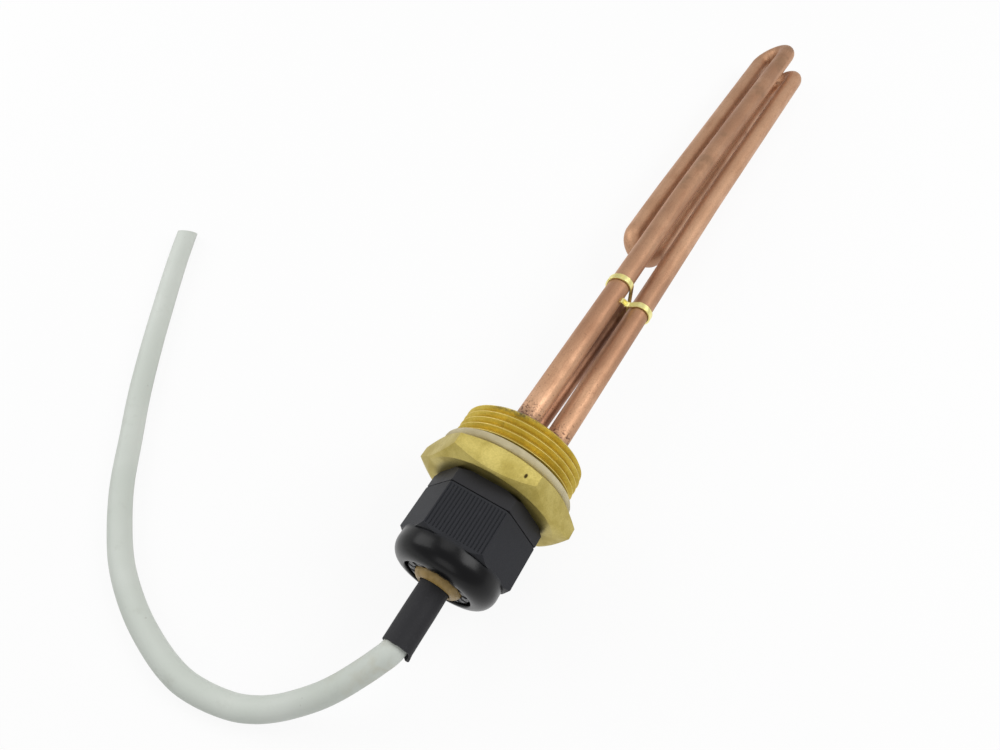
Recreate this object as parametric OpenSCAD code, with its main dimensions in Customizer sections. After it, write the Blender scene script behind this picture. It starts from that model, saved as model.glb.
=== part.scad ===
// Screw plug immersion heater, lying on a level surface with its cable.
// Millimetres. X runs along the plug's thread towards the element tips and Z is up.
// The origin is on the thread's axis, in the plane where the gasket meets the vessel.

/* [Plug] */
// Hexagon across flats; two flats are level, and the lower one rests on the surface.
hex_across_flats = 46; // [42:0.5:52]
// Thickness of the hexagon along the axis.
hex_thickness = 8.5; // [7:0.5:14]
// Diameter of the flat left on each end of the hexagon by its chamfer.
hex_face_d = 44; // [40:0.5:46]
// Angle of the hexagon's chamfers.
hex_chamfer_angle = 28; // [15:1:35]
// Major diameter of the pipe thread, drawn as a plain cylinder.
thread_d = 41.91; // [41.5:0.01:48]
// Length of the threaded shank beyond the gasket.
thread_length = 11; // [10:0.5:20]
// Depth of the thread relief turned under the gasket.
relief_depth = 1.75; // [1.5:0.05:2]
// Chamfer at the shank's free end.
thread_chamfer = 0.8; // [0.4:0.1:1.5]
// Thickness of the end wall that the tubes are brazed into.
end_wall = 4; // [3:0.5:6]
// Gap kept all round the tube ends inside the terminal chamber.
chamber_margin = 1.2; // [0.8:0.1:2]

/* [Flange gasket] */
// How far the fibre sealing ring stands out past the thread.
gasket_stand = 1.75; // [1.5:0.05:2]
// Thickness of the sealing ring.
gasket_thickness = 3; // [1:0.25:4]
// Radial ease of the ring over the thread.
gasket_ease = 0.2; // [0.1:0.05:0.4]

/* [Element] */
// Outer diameter of the copper sheath.
tube_d = 8; // [7:0.1:8.5]
// Wall of the copper sheath.
tube_wall = 0.8; // [0.6:0.1:1]
// Sideways place of the first leg in the end wall.
leg_a_y = 2; // [0:0.25:3]
// Height of the first leg in the end wall.
leg_a_z = 10.2; // [9.5:0.1:10.5]
// Distance from the first leg to the second.
pair_spacing = 12.2; // [11.5:0.1:12.6]
// Direction from the first leg to the second, turning from +Y to +Z.
pair_angle = 213; // [208:1:218]
// Distance between the two tubes of a hairpin.
hairpin_spacing = 13; // [12:0.1:14]
// Direction from a leg to its return tube.
hairpin_angle = -45; // [-50:1:-40]
// Distance from the shank's end to the centre of the first tip bend.
tip_a = 259; // [230:1:300]
// Distance from the shank's end to the centre of the second tip bend.
tip_b = 251; // [225:1:295]
// Distance from the shank's end to the centre of the lower bend.
lower_bend = 110; // [100:1:135]
// Distance from the shank's end to where the tubes are sprung sideways.
spring_place = 140; // [136:1:180]
// Sideways lean of the tubes beyond that place.
spring_angle = -0.8; // [-1:0.1:0.5]
// Further lean of the first leg, which opens its hairpin towards the tip.
leg_a_lean = -0.6; // [-0.8:0.1:0.2]
// Sideways set of the tubes from the plug's axis.
bundle_yaw = -0.9; // [-1.2:0.1:1]
// Length of sheath standing inside the terminal chamber.
sheath_stand = 2; // [1.5:0.5:3]
// Diameter of the terminal pins.
pin_d = 2.4; // [2:0.1:2.8]
// Depth of the terminal pins, which sets the unheated length.
pin_depth = 40; // [30:1:60]
// Wire thickness of the resistance coil, wound on the pins' ends.
coil_wire = 0.5; // [0.3:0.1:0.7]
// Length of each end seal inside its tube.
end_seal_depth = 12; // [8:1:16]

/* [Sensor pocket] */
// Outer diameter of the sensor's closed tube.
pocket_d = 6; // [5:0.1:6.5]
// Wall of the sensor's tube.
pocket_wall = 0.6; // [0.5:0.1:0.8]
// Reach of the sensor's tube from the shank's end.
pocket_reach = 75; // [60:1:80]
// Sideways place of the sensor's tube in the end wall.
pocket_y = 0.5; // [0:0.1:0.8]
// Sideways set of the sensor's tube from the legs.
pocket_yaw = -1.3; // [-1.6:0.1:0]
// Downward set of the sensor's tube from the legs.
pocket_droop = 1.5; // [1:0.1:2]
// Length of the sensor capsule.
capsule_length = 14; // [10:1:20]

/* [Leg clip] */
// Distance from the shank's end to the clip.
clip_place = 71.5; // [60:0.5:90]
// Width of the brass strip.
clip_width = 2.5; // [2:0.1:3]
// Thickness of the brass strip.
clip_thickness = 0.7; // [0.5:0.1:0.9]
// Radial ease of the strip round each leg.
clip_ease = 0.1; // [0.06:0.02:0.3]
// Gap between the strip's two crossing runs.
clip_step = 0.2; // [0.1:0.1:0.6]

/* [Gland] */
// Gland body and cap nut across flats.
gland_across_flats = 33; // [32:0.5:36]
// Length of the gland body's hexagon.
gland_band = 5.2; // [4:0.2:8]
// Diameter of the gland's entry thread, drawn plain.
entry_d = 25; // [24.6:0.2:26]
// Length of the entry thread in the plug.
entry_length = 6; // [5:0.5:6.5]
// Radial ease of the entry thread in the plug.
entry_ease = 0.15; // [0.1:0.05:0.3]
// Diameter of the cap nut's thread on the body, drawn plain.
stem_d = 28; // [27.6:0.2:28.6]
// Length of the body's stem inside the cap nut.
stem_length = 15; // [14:0.5:18]
// Length of the cap nut's hexagon.
nut_hex_length = 15.5; // [15.5:0.5:22]
// Number of grip grooves on every other flat of the cap nut.
rib_grooves = 17; // [9:2:19]
// Distance between neighbouring grooves.
rib_pitch = 1.12; // [0.8:0.02:1.12]
// Depth of the grooves.
rib_depth = 0.25; // [0.2:0.05:0.5]
// Diameter of the cap nut's dome.
dome_d = 34; // [33.6:0.2:36]
// Length of the cap nut's dome.
dome_length = 8.1; // [8:0.1:10]
// Radius of the dome's rounded rim.
dome_round = 5.4; // [4.5:0.1:5.6]
// Diameter of the cap nut's mouth.
mouth_d = 22.4; // [21.8:0.2:23]
// Running gap between the cap nut, its clamp insert and the fixed body.
running_gap = 0.3; // [0.25:0.05:0.4]
// Diameter of the rubber seal inside the clamp insert.
seal_d = 15.6; // [14:0.2:16]
// How far the seal swells out of the cap nut's mouth.
seal_stand = 1.4; // [0.6:0.1:2]
// Number of fingers of the clamp insert.
claw_fingers = 14; // [8:2:18]
// Width of the slots between the fingers.
claw_slot = 1; // [0.8:0.1:1.4]

/* [Cable] */
// Outer diameter of the cable.
cable_d = 7.4; // [7:0.1:7.8]
// Wall of the shrink sleeve.
sleeve_wall = 0.65; // [0.4:0.05:0.8]
// Radial ease of the sleeve, which has shrunk only loosely onto the cable.
sleeve_ease = 0.4; // [0.3:0.05:0.5]
// Length of sleeve standing out of the cap nut's mouth.
sleeve_stand = 20; // [14:1:20]
// Diameter of each insulated core.
core_d = 1.8; // [1.4:0.1:2]

/* [Hidden] */
$fn = 48;
thread_r = thread_d / 2;
relief_r = thread_r - relief_depth;
gasket_r = thread_r + gasket_stand;
tube_r = tube_d / 2;
bore_r = tube_r - tube_wall;
pin_r = pin_d / 2;
coil_r = pin_r + coil_wire;
floor_z = -hex_across_flats / 2;
// Ends of the hexagon along X: the front one is sealed by the gasket.
hex_front = -gasket_thickness;
hex_back = hex_front - hex_thickness;
// Places of the four tubes across the bundle: leg, its return, the other return, the other leg.
pair_step = pair_spacing * [cos(pair_angle), sin(pair_angle)];
hairpin_step = hairpin_spacing * [cos(hairpin_angle), sin(hairpin_angle)];
leg_a = [leg_a_y, leg_a_z];
leg_b = leg_a + pair_step;
return_a = leg_a + hairpin_step;
return_b = leg_b + hairpin_step;
// The droop that brings the lower return tube onto the surface the hexagon rests on.
droop_reach = norm([tip_b, return_b[1]]);
bundle_droop = atan2(return_b[1], tip_b) + asin((-floor_z - tube_r) / droop_reach);
// Terminal chamber inside the plug, opened far enough to clear the sheath ends.
chamber_r = max(norm(leg_a), norm(leg_b)) + tube_r + chamber_margin;
chamber_start = hex_back + entry_length;
chamber_end = thread_length - end_wall;
// Places along a tube, measured from the shank's end.
sheath_start = -end_wall - sheath_stand;
seal_flange = 1.5;
pin_start = sheath_start - seal_flange - 3.5;
crimp_length = 5;
crimp_r = pin_r + 0.7;
crimp_start = pin_start - 2.5;
coil_start = pin_depth - 6;
pocket_r = pocket_d / 2;
pocket_bore_r = pocket_r - pocket_wall;
capsule_end = pocket_reach - pocket_r;
lead_r = 0.8;
earth_place = [3, -10];
earth_thickness = 1.2;
earth_r = 2.6;
ridge_length = 1;
ridge_rise = 0.08;
// Middle line of the clip strip, with its places along the legs in steps of clip_pitch: from a cut end
// folded up the first leg's side, down between the legs, round the second leg and round the first.
clip_r = tube_r + clip_ease + clip_thickness / 2;
clip_turn = acos(2 * clip_r / pair_spacing);
clip_pitch = clip_width + clip_step;
clip_steps = 18;
clip_arc = 360 - 2 * clip_turn;
clip_mid = leg_a + pair_step / 2;
clip_path = concat(
    [for (k = [[-63, -3.07], [-45, -2.63], [-27, -2.19]]) clip_point(leg_a, pair_angle + k[0], k[1])],
    [for (k = [[-1.85, 0.1, 1.3], [-1.6, -0.8, 0.45], [-1.33, -1.9, 0.45]])
        [clip_place + k[0] * clip_pitch, clip_mid[0] + k[1], clip_mid[1] + k[2]]],
    [for (i = [0:clip_steps]) let(u = i / clip_steps)
        clip_point(leg_b, pair_angle - 180 + clip_turn + clip_arc * u, -0.95 + 0.35 * u)],
    [for (i = [0:clip_steps]) let(u = i / clip_steps)
        clip_point(leg_a, pair_angle - clip_turn - clip_arc * u, 0.15 - 0.7 * u)]);
// Gland places along X, all behind the plug's hexagon.
band_back = hex_back - gland_band;
stem_back = band_back - stem_length;
nut_front = band_back - running_gap;
nut_step = nut_front - nut_hex_length;
nut_back = nut_step - dome_length;
mouth_r = mouth_d / 2;
// Plain lengths left beyond the grooves, at the dome and at the body.
rib_back = 1.2;
rib_front = 0.6;
stem_r = stem_d / 2;
// Round faces left by the gland's chamfers: full at the joint of its two hexagons, cut back elsewhere.
gland_full_d = gland_across_flats / cos(30) - 0.8;
gland_face_d = gland_across_flats + 2;
gland_chamfer_angle = 40;
claw_r = mouth_r - running_gap - 0.1;
seat_r = claw_r + running_gap;
seat_depth = 7;
insert_front = stem_back + seat_depth - running_gap;
insert_back = nut_back + 0.5;
seal_back = nut_back - seal_stand;
wiring_r = entry_d / 2 - 2;
neck_r = seat_r - 2;
// Cable and sleeve.
cable_r = cable_d / 2;
sleeve_r = cable_r + sleeve_ease + sleeve_wall;
sleeve_back = nut_back - sleeve_stand;
sleeve_front = band_back - 2.5;
core_r = core_d / 2;
cable_start = band_back - 0.5;
core_pitch = 2.1;
seal_bore_r = sleeve_r + running_gap;
lay_z = floor_z + cable_r;
// Route of the cable beyond the sleeve: places on the surface chosen by eye from the photograph.
route_tail = [[-66, 2.7, -1.9], [-71, 5.8, -4.8], [-76, 9.2, -7.6], [-80.5, 13, -10.5], [-85, 17.8, -13.6],
    [-89, 22.8, -16.2], [-92.5, 28.5, -18.1], [-95.2, 35.3, lay_z], [-97, 45, lay_z], [-97, 54, lay_z],
    [-94.5, 65, lay_z], [-89.5, 78, lay_z], [-82, 91, lay_z], [-73, 101.5, lay_z], [-62, 111.8, lay_z],
    [-48, 122.2, lay_z], [-33, 133.2, lay_z], [-15, 145, lay_z], [4.5, 157, lay_z], [20.5, 166.5, lay_z],
    [33, 173.4, lay_z]];
route = concat([[cable_start, 0, 0], [-39, 0, 0], [sleeve_back, sleeve_ease, 0]], route_tail);
cable_sides = 12;

// Stands a piece drawn along Z along X.
module along_x() {
    rotate([0, 90, 0]) children();
}

// Moves a piece drawn about the plug's end into the tubes' own slightly drooping frame.
module in_bundle() {
    translate([thread_length, 0, 0]) rotate([0, bundle_droop, bundle_yaw]) children();
}

// Moves a piece drawn about the plug's end into the sensor tube's own frame.
module in_pocket() {
    in_bundle() translate([0, pocket_y, 0]) rotate([0, pocket_droop, pocket_yaw]) children();
}

// Round bar between two places.
module rod(p, q, r) {
    d = q - p;
    translate(p) rotate([0, acos(d[2] / norm(d)), atan2(d[1], d[0])]) cylinder(h = norm(d), r = r);
}

// Straight bar in the bundle, from x0 to x1.
module straight(place, x0, x1, r) {
    translate([x0, place[0], place[1]]) along_x() cylinder(h = x1 - x0, r = r);
}

// Half-turn bend joining two places at x, bulging towards +X for side 1 and -X for side -1.
// A faint ridge, as the bending tool leaves, marks both ends.
module bend(p, q, x, side, r) {
    mid = (p + q) / 2;
    d = q - p;
    translate([x, mid[0], mid[1]])
        rotate([atan2(d[1], d[0]), 0, 0])
            rotate([0, 0, side > 0 ? -90 : 90])
                rotate_extrude(angle = 180, $fn = 96) translate([norm(d) / 2, 0]) circle(r = r);
    straight(p, x - ridge_length / 2, x + ridge_length / 2, r + ridge_rise);
    straight(q, x - ridge_length / 2, x + ridge_length / 2, r + ridge_rise);
}

// Place of a tube at its tip, leaning sideways from spring_place on.
function sprung(place, tip, lean) = place + [(tip - spring_place) * tan(lean), 0];

// One tube of the bundle, from x0 to its tip. A faint ridge marks the place where it leans over.
module sprung_tube(place, x0, tip, lean, r) {
    end = sprung(place, tip, lean);
    straight(place, x0, spring_place, r);
    straight(place, spring_place - ridge_length / 2, spring_place + ridge_length / 2, r + ridge_rise);
    rod([spring_place, place[0], place[1]], [tip, end[0], end[1]], r);
}

// The whole winding path as a solid bar: leg, tip bend, return, lower bend, return, tip bend, leg.
module winding(x0, r) {
    lean_a = spring_angle + leg_a_lean;
    sprung_tube(leg_a, x0, tip_a, lean_a, r);
    bend(sprung(leg_a, tip_a, lean_a), sprung(return_a, tip_a, spring_angle), tip_a, 1, r);
    sprung_tube(return_a, lower_bend, tip_a, spring_angle, r);
    bend(return_a, return_b, lower_bend, -1, r);
    sprung_tube(return_b, lower_bend, tip_b, spring_angle, r);
    bend(sprung(return_b, tip_b, spring_angle), sprung(leg_b, tip_b, spring_angle), tip_b, 1, r);
    sprung_tube(leg_b, x0, tip_b, spring_angle, r);
}

// Hexagonal bar along X, its back and front ends chamfered to round faces.
module hex_bar(x0, x1, flats, back_d, front_d, angle) {
    corner = flats / 2 / cos(30);
    back_rise = (corner - back_d / 2) * tan(angle);
    front_rise = (corner - front_d / 2) * tan(angle);
    translate([x0, 0, 0]) along_x() intersection() {
        rotate([0, 0, 30]) cylinder(h = x1 - x0, r = corner, $fn = 6);
        rotate_extrude() polygon([[0, 0], [back_d / 2, 0], [corner, back_rise],
            [corner, x1 - x0 - front_rise], [front_d / 2, x1 - x0], [0, x1 - x0]]);
    }
}

// Round stock along X, used for solids and for the bores cut in them.
module turned(x0, x1, r) {
    translate([x0, 0, 0]) along_x() cylinder(h = x1 - x0, r = r);
}

// Brass plug: hexagon, threaded shank, gland entry, terminal chamber and drilled end wall.
module screw_plug() {
    color([0.72, 0.62, 0.28]) difference() {
        union() {
            hex_bar(hex_back, hex_front, hex_across_flats, hex_face_d, hex_face_d, hex_chamfer_angle);
            turned(hex_front - 1, 1, relief_r);
            along_x() rotate_extrude() polygon([[0, 0], [thread_r, 0],
                [thread_r, thread_length - thread_chamfer],
                [thread_r - thread_chamfer, thread_length], [0, thread_length]]);
        }
        turned(hex_back - 1, chamber_start + 0.5, entry_d / 2 + entry_ease);
        turned(chamber_start, chamber_end, chamber_r);
        in_bundle() straight(leg_a, -end_wall - 4, 4, tube_r);
        in_bundle() straight(leg_b, -end_wall - 4, 4, tube_r);
        in_pocket() straight([0, 0], -end_wall - 4, 4, pocket_r);
    }
}

// Fibre ring that seals the hexagon against the vessel.
module flange_gasket() {
    color([0.74, 0.7, 0.64]) difference() {
        turned(hex_front, 0, gasket_r);
        turned(hex_front - 1, 1, thread_r + gasket_ease);
    }
}

// Copper sheath bent into two hairpins joined by a lower bend.
module element_sheath() {
    color([0.72, 0.48, 0.36]) in_bundle() difference() {
        winding(sheath_start, tube_r);
        winding(sheath_start - 1, bore_r);
    }
}

// Packed magnesia powder that holds the coil and the pins in the middle of the sheath.
module magnesia_fill() {
    cold = sheath_start + end_seal_depth;
    color([0.9, 0.9, 0.86]) in_bundle() difference() {
        winding(cold, bore_r);
        winding(coil_start, coil_r);
        straight(leg_a, cold - 1, coil_start + 1, pin_r);
        straight(leg_b, cold - 1, coil_start + 1, pin_r);
    }
}

// Resistance winding, drawn as the sleeve that its close turns fill.
module resistance_coil() {
    color([0.45, 0.44, 0.43]) in_bundle() difference() {
        winding(coil_start, coil_r);
        winding(coil_start - 1, pin_r);
    }
}

// Terminal pin of one leg.
module terminal_pin(place) {
    color([0.6, 0.6, 0.6]) in_bundle() straight(place, pin_start, pin_depth, pin_r);
}

module terminal_pin_a() {
    terminal_pin(leg_a);
}

module terminal_pin_b() {
    terminal_pin(leg_b);
}

// Flanged rubber seal that closes a sheath end round its pin.
module end_seal(place) {
    color([0.75, 0.3, 0.22]) in_bundle() difference() {
        union() {
            straight(place, sheath_start - seal_flange, sheath_start + end_seal_depth, bore_r);
            straight(place, sheath_start - seal_flange, sheath_start, tube_r);
        }
        straight(place, sheath_start - seal_flange - 1, sheath_start + end_seal_depth + 1, pin_r);
    }
}

module end_seal_a() {
    end_seal(leg_a);
}

module end_seal_b() {
    end_seal(leg_b);
}

// Crimped barrel that joins a core to a terminal pin.
module crimp(place) {
    color([0.7, 0.7, 0.72]) in_bundle() difference() {
        straight(place, crimp_start, crimp_start + crimp_length, crimp_r);
        straight(place, pin_start, crimp_start + crimp_length + 1, pin_r);
    }
}

module crimp_a() {
    crimp(leg_a);
}

module crimp_b() {
    crimp(leg_b);
}

// Point of the bundle at distance x from the shank's end, in the part's frame.
function bundle_point(x, place) = let(
        c = cos(bundle_droop), s = sin(bundle_droop),
        along = c * x + s * place[1], z = -s * x + c * place[1])
    [thread_length + cos(bundle_yaw) * along - sin(bundle_yaw) * place[0],
        sin(bundle_yaw) * along + cos(bundle_yaw) * place[0], z];

// Point on the sensor tube's axis at distance x from the shank's end, in the part's frame.
function pocket_point(x) = let(along = x * cos(pocket_droop))
    bundle_point(along * cos(pocket_yaw), [pocket_y + along * sin(pocket_yaw), -x * sin(pocket_droop)]);

// Start of a core at the cable's inner end, in the direction given.
function core_root(angle) = [cable_start - 0.5, core_pitch * cos(angle), core_pitch * sin(angle)];

// Insulated cores from the cable's inner end to the crimps and the earth tag.
module core_live() {
    color([0.42, 0.25, 0.15]) rod(core_root(70), bundle_point(crimp_start, leg_a), core_r);
}

module core_neutral() {
    color([0.2, 0.35, 0.7]) rod(core_root(170), bundle_point(crimp_start, leg_b), core_r);
}

module core_earth() {
    color([0.3, 0.6, 0.25]) rod(core_root(290),
        [chamber_end - earth_thickness + 0.3, earth_place[0], earth_place[1]], core_r);
}

// Earth tag fixed to the inside of the end wall.
module earth_tag() {
    color([0.75, 0.72, 0.6]) translate([chamber_end - earth_thickness, earth_place[0], earth_place[1]])
        along_x() cylinder(h = earth_thickness, r = earth_r);
}

// Closed copper tube for the temperature sensor, between the legs, with its end spun round.
module sensor_pocket() {
    color([0.66, 0.42, 0.3]) in_pocket() difference() {
        along_x() rotate_extrude() polygon(concat([[0, sheath_start], [pocket_r, sheath_start]],
            [for (a = [0:15:90]) [pocket_r * cos(a), pocket_reach - pocket_r * (1 - sin(a))]]));
        straight([0, 0], sheath_start - 1, capsule_end, pocket_bore_r);
    }
}

// Sensor capsule at the closed end of its pocket.
module sensor_capsule() {
    color([0.8, 0.8, 0.8]) in_pocket()
        straight([0, 0], capsule_end - capsule_length, capsule_end, pocket_bore_r);
}

// Sensor lead from the middle of the cable to the mouth of the sensor's tube and on to the capsule.
module sensor_lead() {
    knee = pocket_point(sheath_start - 2);
    color([0.85, 0.85, 0.82]) union() {
        rod([cable_start - 0.5, 0, 0], knee, lead_r);
        translate(knee) sphere(r = lead_r + 0.1);
        rod(knee, pocket_point(capsule_end - capsule_length), lead_r);
    }
}

// Place of the strip's middle line at an angle round a leg, in steps of clip_pitch from clip_place.
function clip_point(leg, angle, steps) = [clip_place + steps * clip_pitch,
    leg[0] + clip_r * cos(angle), leg[1] + clip_r * sin(angle)];

// Side of the strip at point i, from the direction of its neighbours.
function strip_side(i) = let(
        n = len(clip_path), d = clip_path[min(i + 1, n - 1)] - clip_path[max(i - 1, 0)])
    [0, -d[2], d[1]] / norm([d[1], d[2]]);
function strip_ring(i) = let(
        p = clip_path[i], s = strip_side(i) * clip_thickness / 2, w = [clip_width / 2, 0, 0])
    [p - w - s, p + w - s, p + w + s, p - w + s];

// Skin of a swept body with rings of k points, as triangles.
function skin(rings, k) = concat(
    [for (i = [0:rings - 2], j = [0:k - 1]) [i * k + j, i * k + (j + 1) % k, (i + 1) * k + (j + 1) % k]],
    [for (i = [0:rings - 2], j = [0:k - 1]) [i * k + j, (i + 1) * k + (j + 1) % k, (i + 1) * k + j]],
    [for (j = [1:k - 2]) [0, j + 1, j]],
    [for (j = [1:k - 2]) [(rings - 1) * k, (rings - 1) * k + j, (rings - 1) * k + j + 1]]);

// Brass strip wound in a figure of eight that ties the two legs together.
module leg_clip() {
    n = len(clip_path);
    color([0.82, 0.66, 0.22]) in_bundle() polyhedron(
        points = [for (i = [0:n - 1]) each strip_ring(i)], faces = skin(n, 4), convexity = 6);
}

// Nylon gland body: entry thread, hexagon and the stem that the cap nut runs on.
module gland_body() {
    color([0.1, 0.1, 0.11]) difference() {
        union() {
            hex_bar(band_back, hex_back, gland_across_flats, gland_full_d, gland_face_d,
                gland_chamfer_angle);
            turned(hex_back - 1, chamber_start - 0.2, entry_d / 2);
            turned(stem_back, band_back + 1, stem_r);
        }
        turned(stem_back - 1, stem_back + seat_depth, seat_r);
        turned(stem_back, hex_back, neck_r);
        turned(band_back, chamber_start + 1, wiring_r);
    }
}

// Slotted clamp insert that the cap nut presses onto the seal.
module gland_claw() {
    color([0.07, 0.07, 0.08]) difference() {
        turned(insert_back, insert_front, claw_r);
        turned(insert_back - 1, insert_front + 1, seal_d / 2);
        for (i = [0:claw_fingers - 1])
            rotate([360 / claw_fingers * (i + 0.5), 0, 0])
                translate([insert_back - 1, -claw_slot / 2, seal_d / 2 - 1])
                    cube([insert_front - insert_back - 3, claw_slot, claw_r]);
    }
}

// Rubber seal round the sleeved cable, swollen out of the mouth to a rounded face.
module gland_seal() {
    color([0.5, 0.42, 0.26]) difference() {
        along_x() rotate_extrude() polygon([[0, insert_front], [seal_d / 2, insert_front],
            [seal_d / 2, nut_back + 0.3], [seal_d / 2 - 0.8, seal_back + 0.4], [seal_d / 2 - 1.6, seal_back],
            [0, seal_back]]);
        turned(seal_back - 1, insert_front + 1, seal_bore_r);
    }
}

// Place of grip groove i across a flat of the cap nut.
function rib_place(i) = rib_pitch * (i - (rib_grooves - 1) / 2);

// Cap nut: hexagon with grip grooves on every other flat, rounded dome and open mouth.
module gland_cap_nut() {
    groove = rib_depth * sqrt(2);
    ring_r = dome_d / 2 - dome_round;
    cone_front = stem_back - 1;
    cone_back = nut_back + 2.5;
    color([0.12, 0.12, 0.13]) difference() {
        union() {
            hex_bar(nut_step, nut_front, gland_across_flats, gland_face_d, gland_full_d,
                gland_chamfer_angle);
            turned(nut_back + dome_round, nut_step + 1, dome_d / 2);
            along_x() rotate_extrude($fn = 96) union() {
                translate([ring_r, nut_back + dome_round]) circle(r = dome_round);
                translate([0, nut_back]) square([ring_r, dome_round + 1]);
            }
        }
        turned(cone_front, nut_front + 1, stem_r + running_gap);
        translate([cone_back, 0, 0]) along_x() cylinder(h = cone_front - cone_back,
            r1 = mouth_r, r2 = stem_r + running_gap);
        turned(nut_back - 1, cone_back + 1, mouth_r);
        for (flat = [0, 120, 240], i = [0:rib_grooves - 1])
            rotate([flat, 0, 0])
                translate([nut_step + rib_back, rib_place(i), gland_across_flats / 2])
                    rotate([45, 0, 0])
                        translate([0, -groove / 2, -groove / 2])
                            cube([nut_hex_length - rib_back - rib_front, groove, groove]);
    }
}

// Shrink sleeve over the cable where the gland grips it.
module shrink_sleeve() {
    color([0.16, 0.16, 0.17]) difference() {
        turned(sleeve_back, sleeve_front, sleeve_r);
        turned(sleeve_back - 1, sleeve_front + 1, cable_r + sleeve_ease);
    }
}

// Ring of points round the cable at point i of its route.
function cable_ring(i) = let(
        n = len(route), p = route[i],
        d = i < 3 ? [-1, 0, 0] : route[min(i + 1, n - 1)] - route[i - 1],
        t = d / norm(d), side = cross(t, [0, 0, 1]) / norm(cross(t, [0, 0, 1])), up = cross(side, t))
    [for (j = [0:cable_sides - 1]) let(a = 360 * j / cable_sides)
        p + cable_r * (cos(a) * side + sin(a) * up)];

// Supply cable, cut off bare at its far end.
module supply_cable() {
    n = len(route);
    color([0.82, 0.82, 0.78]) polyhedron(
        points = [for (i = [0:n - 1]) each cable_ring(i)], faces = skin(n, cable_sides), convexity = 6);
}

screw_plug();
flange_gasket();
element_sheath();
magnesia_fill();
resistance_coil();
terminal_pin_a();
terminal_pin_b();
end_seal_a();
end_seal_b();
crimp_a();
crimp_b();
core_live();
core_neutral();
core_earth();
earth_tag();
sensor_pocket();
sensor_capsule();
sensor_lead();
leg_clip();
gland_body();
gland_claw();
gland_seal();
gland_cap_nut();
shrink_sleeve();
supply_cable();
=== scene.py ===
import math

import bmesh
import bpy
from mathutils import Euler, Matrix, Vector, noise


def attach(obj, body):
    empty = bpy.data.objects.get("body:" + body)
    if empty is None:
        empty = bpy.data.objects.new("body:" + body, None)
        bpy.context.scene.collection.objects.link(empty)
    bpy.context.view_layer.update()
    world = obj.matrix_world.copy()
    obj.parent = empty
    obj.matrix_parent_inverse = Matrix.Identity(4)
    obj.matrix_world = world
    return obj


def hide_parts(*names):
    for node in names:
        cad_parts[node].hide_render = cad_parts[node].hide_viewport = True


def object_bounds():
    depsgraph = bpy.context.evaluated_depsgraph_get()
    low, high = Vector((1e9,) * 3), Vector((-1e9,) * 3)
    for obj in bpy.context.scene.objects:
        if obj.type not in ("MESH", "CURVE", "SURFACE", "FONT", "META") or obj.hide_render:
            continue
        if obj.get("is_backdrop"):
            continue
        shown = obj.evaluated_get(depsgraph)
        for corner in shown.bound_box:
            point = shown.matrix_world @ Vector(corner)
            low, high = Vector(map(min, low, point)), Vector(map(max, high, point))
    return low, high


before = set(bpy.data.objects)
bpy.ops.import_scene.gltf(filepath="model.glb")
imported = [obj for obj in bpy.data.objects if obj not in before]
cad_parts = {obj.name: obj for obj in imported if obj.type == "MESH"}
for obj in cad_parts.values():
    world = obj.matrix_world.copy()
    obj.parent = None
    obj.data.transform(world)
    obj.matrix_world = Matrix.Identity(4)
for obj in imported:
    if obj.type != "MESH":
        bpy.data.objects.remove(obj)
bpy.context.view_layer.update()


# Camera: a short lens held close over the cable's side of the plug, looking down along the tubes.
# Its place and turn were worked out from the plug's corners, its gasket and the tubes' edges.
MM = 0.001
scene = bpy.context.scene
eye = Vector((-85.647, -39.464, 203.696)) * MM
tilt, roll, pan = math.radians(32.62709), math.radians(-1.90431), math.radians(-59.76288)
camera = bpy.data.objects.new("camera", bpy.data.cameras.new("camera"))
camera.data.sensor_width = 36
camera.data.lens = 25.5
camera.data.clip_start = 0.01
camera.matrix_world = Matrix.LocRotScale(eye, Euler((tilt, roll, pan)), None)
scene.collection.objects.link(camera)
scene.camera = camera
scene.view_settings.view_transform = "Standard"


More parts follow.
